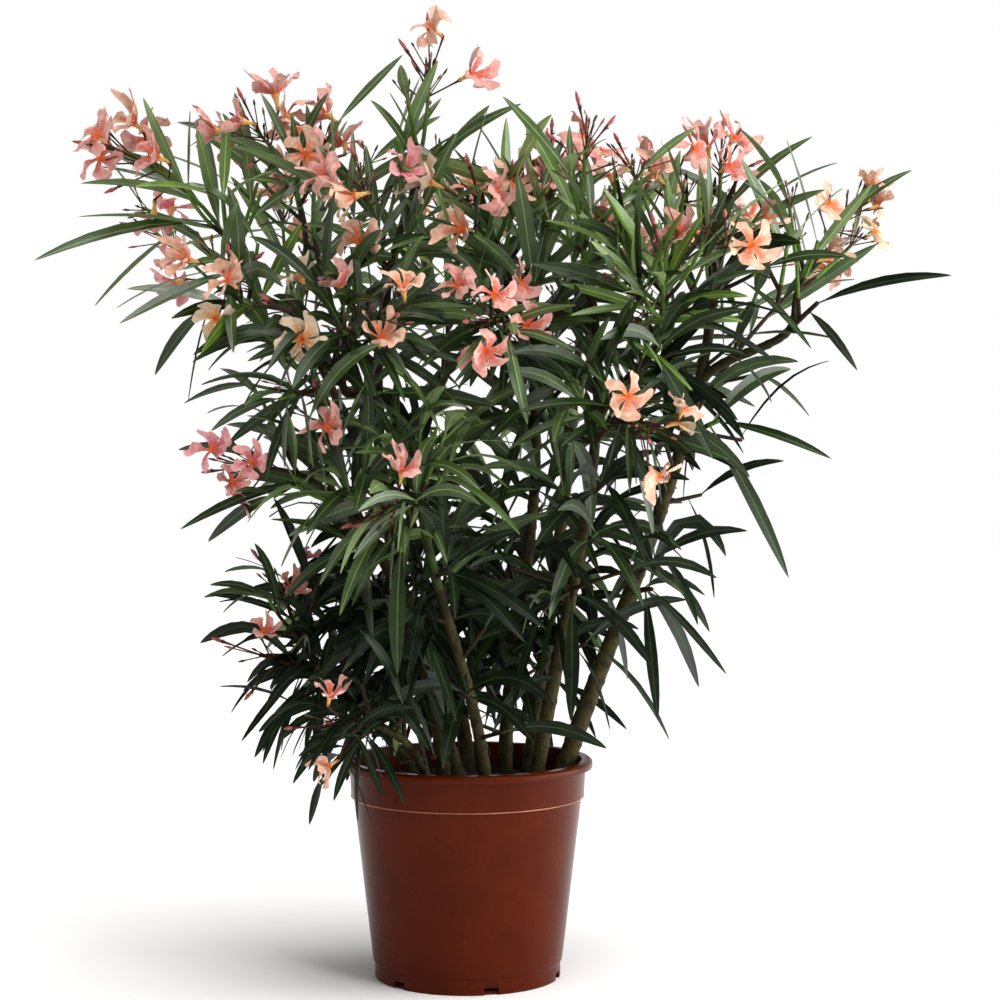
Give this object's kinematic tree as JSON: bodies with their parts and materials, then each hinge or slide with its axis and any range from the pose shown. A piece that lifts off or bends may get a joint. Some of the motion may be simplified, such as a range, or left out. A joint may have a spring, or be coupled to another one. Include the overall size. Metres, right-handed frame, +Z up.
{
  "type": "potted oleander",
  "caption": "Flowering oleander shrub with bare canes, whorled narrow leaves and clustered blooms, in a round plastic nursery pot.",
  "frame": {"origin": "centre of the pot's flat underside", "axes": "+Z up along the pot's axis, -Y towards the front of the plant, +X to its right as seen from the front"},
  "size_m": [0.8888, 0.5577, 0.9651],
  "materials": {
    "pot": "satin moulded polypropylene",
    "soil": "dark moist potting mix",
    "cane": "smooth olive-grey bark with leaf scars",
    "bough": "young reddish-brown bark",
    "foliage": "leathery dark green leaves and salmon-pink petals"
  },
  "bodies": {
    "root": {"pot": "pot", "soil": "soil", "cane_front": "cane", "cane_middle": "cane", "cane_right": "cane", "cane_left": "cane", "cane_back": "cane", "cane_mid_left": "cane", "cane_low_left": "cane", "cane_low_front": "cane", "cane_back_left": "cane", "cane_back_right": "cane", "bough_far_left": "bough", "bough_upper_left": "bough", "bough_inner_left": "bough", "bough_mid_right": "bough", "bough_right": "bough", "bough_back_middle": "bough", "bough_back_far_right": "bough", "foliage_far_left": "foliage", "foliage_upper_left": "foliage", "foliage_top": "foliage", "foliage_far_right": "foliage", "foliage_far_right_low": "foliage", "foliage_front_low_left": "foliage", "foliage_left_side": "foliage", "foliage_front": "foliage", "foliage_middle_front": "foliage", "foliage_right_front": "foliage", "foliage_inner_left": "foliage", "foliage_inner_far_left": "foliage", "foliage_left_front": "foliage", "foliage_upper_left_front": "foliage", "foliage_upper_left_back": "foliage", "foliage_middle_left": "foliage", "foliage_middle": "foliage", "foliage_spike": "foliage", "foliage_upper_right_back": "foliage", "foliage_right_middle": "foliage", "foliage_green_front": "foliage", "foliage_upper_right": "foliage", "foliage_right_flowers": "foliage", "foliage_right": "foliage", "foliage_right_under": "foliage", "foliage_left_above": "foliage", "foliage_low_left": "foliage", "foliage_low_far_left": "foliage", "foliage_low_back_left": "foliage", "foliage_middle_low": "foliage", "foliage_right_low": "foliage", "foliage_left_low": "foliage", "foliage_back_low": "foliage", "foliage_back_left": "foliage", "foliage_back_middle": "foliage", "foliage_back_right": "foliage", "foliage_back_far_right": "foliage", "foliage_right_back": "foliage", "foliage_back_far_left": "foliage", "foliage_back_under_left": "foliage", "foliage_back_under_right": "foliage"}
  },
  "joints": []
}
